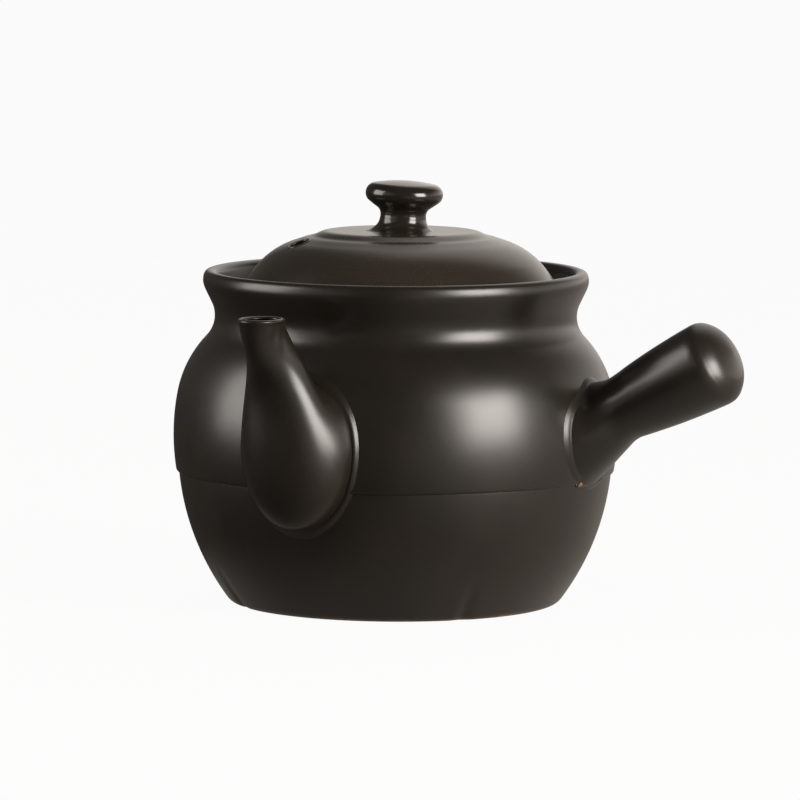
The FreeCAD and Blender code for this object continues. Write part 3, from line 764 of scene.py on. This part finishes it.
handle_contact = []
for turn in turns_round(HANDLE_RIDGE_PARTS):
    around = Vector((0, 1, 0)) * math.cos(turn) + over_handle * math.sin(turn)
    start = meets_wall(lambda share: down_the_flare(share, around))
    handle_contact.append(down_the_flare(start, around))
handle_ridge = ridge_round("handle_ridge", handle_contact, handle_ridge_worked)
handle_ridge.data.materials.append(pot_glaze)
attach(handle_ridge, "pot")
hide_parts("handle_luting")

# ======================================================================================
# Lid's dome
# A thrown dome with a slightly raised flat top, glazed drier and browner than the pot.
# The steam hole was cut while the clay was soft, and the glaze gathers round it.
# ======================================================================================
lid_placement = Matrix.Rotation(math.radians(26), 4, "Z") @ Matrix.Translation(Vector((2, 0, 0)) * MM)
lid_glaze = stoneware_glaze(
    "lid_glaze", colour(34, 29, 24), colour(40, 35, 29), colour(52, 43, 34), gloss=0.25)

STEAM_REACH, STEAM_HEADING, STEAM_DIAMETER = 48, math.radians(199), 9.2
steam_place = Vector((
    STEAM_REACH * math.cos(STEAM_HEADING), STEAM_REACH * math.sin(STEAM_HEADING), 160))
LID_EDGE, LID_SHOULDER, LID_STEP = (74.5, 138.5), (65, 151.5), (47.5, 163.2, 36)
lid_dome = turn_piece("lid_dome_wall", profile([
    (0, 162.8), (45, 158.2, 0, 6), (60, 149, -31, 4), (64.5, 135, 0, 0.6), (74.5, 135, 0, 0.8),
    (*LID_EDGE, 0, 1.4), (*LID_SHOULDER, 0, 3), LID_STEP, (42.5, 164.9, 0, 1.5),
    (39.5, 165.5, 0, 1.2), (34.5, 167.8, 0, 2.2), (0, 167.8),
], spacing=1.0), lid_glaze, seed=13, holes=([steam_place], STEAM_DIAMETER, 60), placement=lid_placement)

# the bead of glaze round the steam hole: a ring that follows the dome, half sunk in it
BEAD_REACH, BEAD_THICK, BEAD_SUNK = 4.75, 0.6, 0.4
BEAD_PARTS, BEAD_SIDES = 48, 12
upwards = Vector((0, 0, 1))
dome_line = profile([LID_EDGE, LID_SHOULDER, LID_STEP, (42.5, 164.9), (39.5, 165.5)])[::-1]
bead_rings = []
for turn in turns_round(BEAD_PARTS):
    around = Vector((math.cos(turn), math.sin(turn), 0))
    place = steam_place + around * BEAD_REACH
    place.z = read_off(dome_line, math.hypot(place.x, place.y))
    bead_rings.append([
        place + (around * math.cos(swing) + upwards * (math.sin(swing) - BEAD_SUNK)) * BEAD_THICK
        for swing in turns_round(BEAD_SIDES)])
steam_bead = closed_sleeve("steam_bead", bead_rings)
steam_bead.data.transform(lid_placement)


def join_on(piece, addition):
    """Make another piece part of this one, with this one's finish."""
    both = bmesh.new()
    both.from_mesh(piece.data)
    both.from_mesh(addition.data)
    for face in both.faces:
        face.material_index = piece.data.polygons[0].material_index
    both.to_mesh(piece.data)
    both.free()
    bpy.data.objects.remove(addition)


join_on(lid_dome, steam_bead)
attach(lid_dome, "lid")
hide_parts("lid_dome")

# ======================================================================================
# Lid's ring
# A ring of clay under the lid, stuck on while both were damp, which keeps the lid in the
# mouth while the pot is tilted.
# ======================================================================================
lid_ring = turn_piece("lid_ring", profile([
    (64.3, 124, 0, 1.5), (68.8, 124, 0, 1.5), (68.8, 135, 0, 0.3), (64.3, 135, 0, 0.3),
], closed=True), lid_glaze, seed=8, placement=lid_placement)
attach(lid_ring, "lid")
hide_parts("lid_flange")

# ======================================================================================
# Knob
# A mushroom knob, thrown on its own and set on the lid a touch off upright.  Its glaze
# is thick and shinier than the dome's.
# ======================================================================================
knob_placement = (
    lid_placement @ Matrix.Translation(Vector((0.8, 0, 167.8)) * MM)
    @ Matrix.Rotation(math.radians(2.5), 4, "Y"))
knob_glaze = stoneware_glaze(
    "knob_glaze", colour(24, 20, 16), colour(30, 26, 21), colour(58, 50, 40), gloss=0.17)
knob = turn_piece("knob_cap", profile([
    (0, -0.6), (10.8, -0.6), (10.3, 6.5), (12.4, 10.6, -4, 0.3), (15.2, 12.6, 0, 1.5),
    (17.4, 16.8, 4.6), (13.6, 21.2, 4.6), (0, 22.5, 71.8),
], spacing=0.5), knob_glaze, seed=8, steps=120, uneven=0.15, placement=knob_placement)
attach(knob, "lid")
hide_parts("lid_knob")

# ======================================================================================
# Knob's clay coil
# The soft clay that was smoothed into the corner between knob and lid, and holds the
# knob on.  It wears the knob's glaze.
# ======================================================================================
knob_fillet = turn_piece("knob_fillet", profile([
    (9.4, -0.6), (16.6, -1.4), (16.4, -0.7), (13.0, 1.1, -9, 0.3), (10.45, 5.6, -6, 0.3), (9.4, 5.4),
], closed=True, spacing=0.4), knob_glaze, seed=11, steps=120, uneven=0.2, placement=knob_placement)
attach(knob_fillet, "lid")
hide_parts("knob_luting")

# ======================================================================================
# Floor
# Pale paper that glows evenly white where it is looked at.  Where the glaze reflects it, its
# glow is painted light, which fades with distance from the lit side and from the foot.
# ======================================================================================
CAMERA_HEADING = math.radians(26)
to_right = Vector((math.cos(CAMERA_HEADING), math.sin(CAMERA_HEADING), 0))
away = Vector((-math.sin(CAMERA_HEADING), math.cos(CAMERA_HEADING), 0))
WHITE = (1, 1, 1, 1)
PAPER_BOUNCE = (1, 0.91, 0.82, 1)


def towards(tree, place, direction):
    """How far a place lies in a direction."""
    return node(tree, "ShaderNodeVectorMath", [
        (0, place), (1, direction)], operation="DOT_PRODUCT").outputs["Value"]


def glowing_paper():
    """Paper that looks white and takes the pot's shadow, with painted light where the glaze reflects it.
    """
    paper = bpy.data.materials.new("paper")
    paper.use_nodes = True
    tree = paper.node_tree
    maths = partial(math_node, tree)
    shader = tree.nodes["Principled BSDF"]
    shader.inputs["Base Color"].default_value = (0.5, 0.49, 0.48, 1)
    shader.inputs["Roughness"].default_value = 0.9
    shader.inputs["Specular IOR Level"].default_value = 0.1
    rays = tree.nodes.new("ShaderNodeLightPath").outputs
    seen = rays["Is Camera Ray"]
    bounced = maths("MAXIMUM", rays["Is Glossy Ray"], rays["Is Transmission Ray"])
    glows = maths("MAXIMUM", maths("MULTIPLY", seen, 0.95), bounced)
    spot = tree.nodes.new("ShaderNodeTexCoord").outputs["Object"]
    # painted light for reflections only: the glow the glaze sees is brighter towards the lit side and
    # near the foot
    painted_lit_side = spread(tree, towards(tree, spot, to_right), -0.06, 0.16, 0.06, 0.5)
    from_axis = node(tree, "ShaderNodeVectorMath", [(0, spot)], operation="LENGTH").outputs["Value"]
    painted_glow_near_foot = spread(tree, from_axis, 0.085, 0.14, 0.2, 0.0)
    glow = node(tree, "ShaderNodeEmission", [
        ("Color", mixed(tree, seen, PAPER_BOUNCE, WHITE)),
        ("Strength", maths("MAXIMUM", seen, maths("ADD", painted_lit_side, painted_glow_near_foot))),
    ])
    paper_look = node(tree, "ShaderNodeMixShader", [
        (0, glows), (1, shader.outputs[0]), (2, glow.outputs[0]),
    ])
    tree.links.new(paper_look.outputs[0], tree.nodes["Material Output"].inputs[0])
    return paper


floor = new_piece("floor", [(-20, -20, 0), (20, -20, 0), (20, 20, 0), (-20, 20, 0)], [(0, 1, 2, 3)])
floor.data.materials.append(glowing_paper())

# ======================================================================================
# Lights
# A soft box on each side of the camera, and a room that is pale behind the pot and
# towards its windows, which the glaze reflects along its edges.
# ======================================================================================
WARM = (1.0, 0.94, 0.89)
BOX_DISTANCE = 1.6
POT_MIDDLE = Vector((0, 0, 0.09))
ROOM_BOUNCE, ROOM_DIM = (1, 0.93, 0.87, 1), 0.1


def toward(azimuth, elevation):
    """A direction as seen from the pot: degrees to the right of the camera, and up."""
    turn, rise = math.radians(azimuth), math.radians(elevation)
    level = to_right * math.sin(turn) - away * math.cos(turn)
    return level * math.cos(rise) + upwards * math.sin(rise)


def soft_box(name, direction, width, height, power):
    """A rectangular lamp that faces the pot's middle from a direction."""
    lamp = bpy.data.lights.new(name, "AREA")
    lamp.shape = "RECTANGLE"
    lamp.size, lamp.size_y = width, height
    lamp.energy = power
    lamp.color = WARM
    holder = bpy.data.objects.new(name, lamp)
    bpy.context.scene.collection.objects.link(holder)
    aim = direction.normalized()
    holder.location = POT_MIDDLE + aim * BOX_DISTANCE
    holder.rotation_euler = aim.to_track_quat("Z", "Y").to_euler()


soft_box("soft_box_right", toward(50.5, 15), 0.84, 0.80, 45)
soft_box("soft_box_left", toward(-85, 18), 1.0, 1.0, 21)


def room_light():
    """The room, which is plain white where it is looked at."""
    world = bpy.data.worlds.new("studio_air")
    world.use_nodes = True
    tree = world.node_tree
    maths = partial(math_node, tree)
    direction = tree.nodes.new("ShaderNodeTexCoord").outputs["Generated"]

    def from_side(side, start, end, level):
        """Light from one side of the room, up to that level."""
        return spread(tree, towards(tree, direction, side), start, end, 0.0, level,
                      interpolation_type="SMOOTHSTEP")

    panel = from_side(away * 0.85 + upwards * 0.4, 0.58, 0.85, 1.1)
    panel = maths("MULTIPLY", panel, from_side(to_right, -0.24, 0.08, 1.0))
    panel = maths("MULTIPLY", panel, from_side(to_right * -1.0, -0.85, -0.45, 1.0))
    windows = from_side(to_right * 0.85 + away * 0.5 - upwards * 0.9, 0.3, 0.9, 1.4)
    front_left = from_side(to_right * -0.85 - away * 0.5, 0.75, 1.0, 0.7)
    lit = maths("MAXIMUM", maths("MAXIMUM", panel, windows), front_left)
    rays = tree.nodes.new("ShaderNodeLightPath").outputs
    seen = maths("MAXIMUM", rays["Is Camera Ray"], rays["Is Transmission Ray"])
    background = tree.nodes["Background"]
    tree.links.new(maths("MAXIMUM", seen, maths("ADD", lit, ROOM_DIM)), background.inputs["Strength"])
    tree.links.new(mixed(tree, rays["Is Camera Ray"], ROOM_BOUNCE, WHITE), background.inputs["Color"])
    return world


bpy.context.scene.world = room_light()

# ======================================================================================
# Camera
# A long lens nearly three metres away and a little above the pot, with both its spout and
# its handle in view, and level but for a hair of roll.
# ======================================================================================
CAMERA_PITCH, CAMERA_ROLL = math.radians(5.92), math.radians(0.3)
CAMERA_PLACE = to_right * 0.00208 - away * 2.9066 + upwards * 0.3925
camera_data = bpy.data.cameras.new("camera")
camera_data.lens, camera_data.sensor_width = 291.5, 36
camera_data.clip_end = 100
camera = bpy.data.objects.new("camera", camera_data)
bpy.context.scene.collection.objects.link(camera)
forward = away * math.cos(CAMERA_PITCH) - upwards * math.sin(CAMERA_PITCH)
level_up = to_right.cross(forward)
camera_right = to_right * math.cos(CAMERA_ROLL) + level_up * math.sin(CAMERA_ROLL)
camera_up = level_up * math.cos(CAMERA_ROLL) - to_right * math.sin(CAMERA_ROLL)
axes = Matrix((camera_right, camera_up, -forward)).transposed().to_4x4()
camera.matrix_world = Matrix.Translation(CAMERA_PLACE) @ axes
bpy.context.scene.camera = camera
bpy.context.scene.view_settings.view_transform = "Standard"
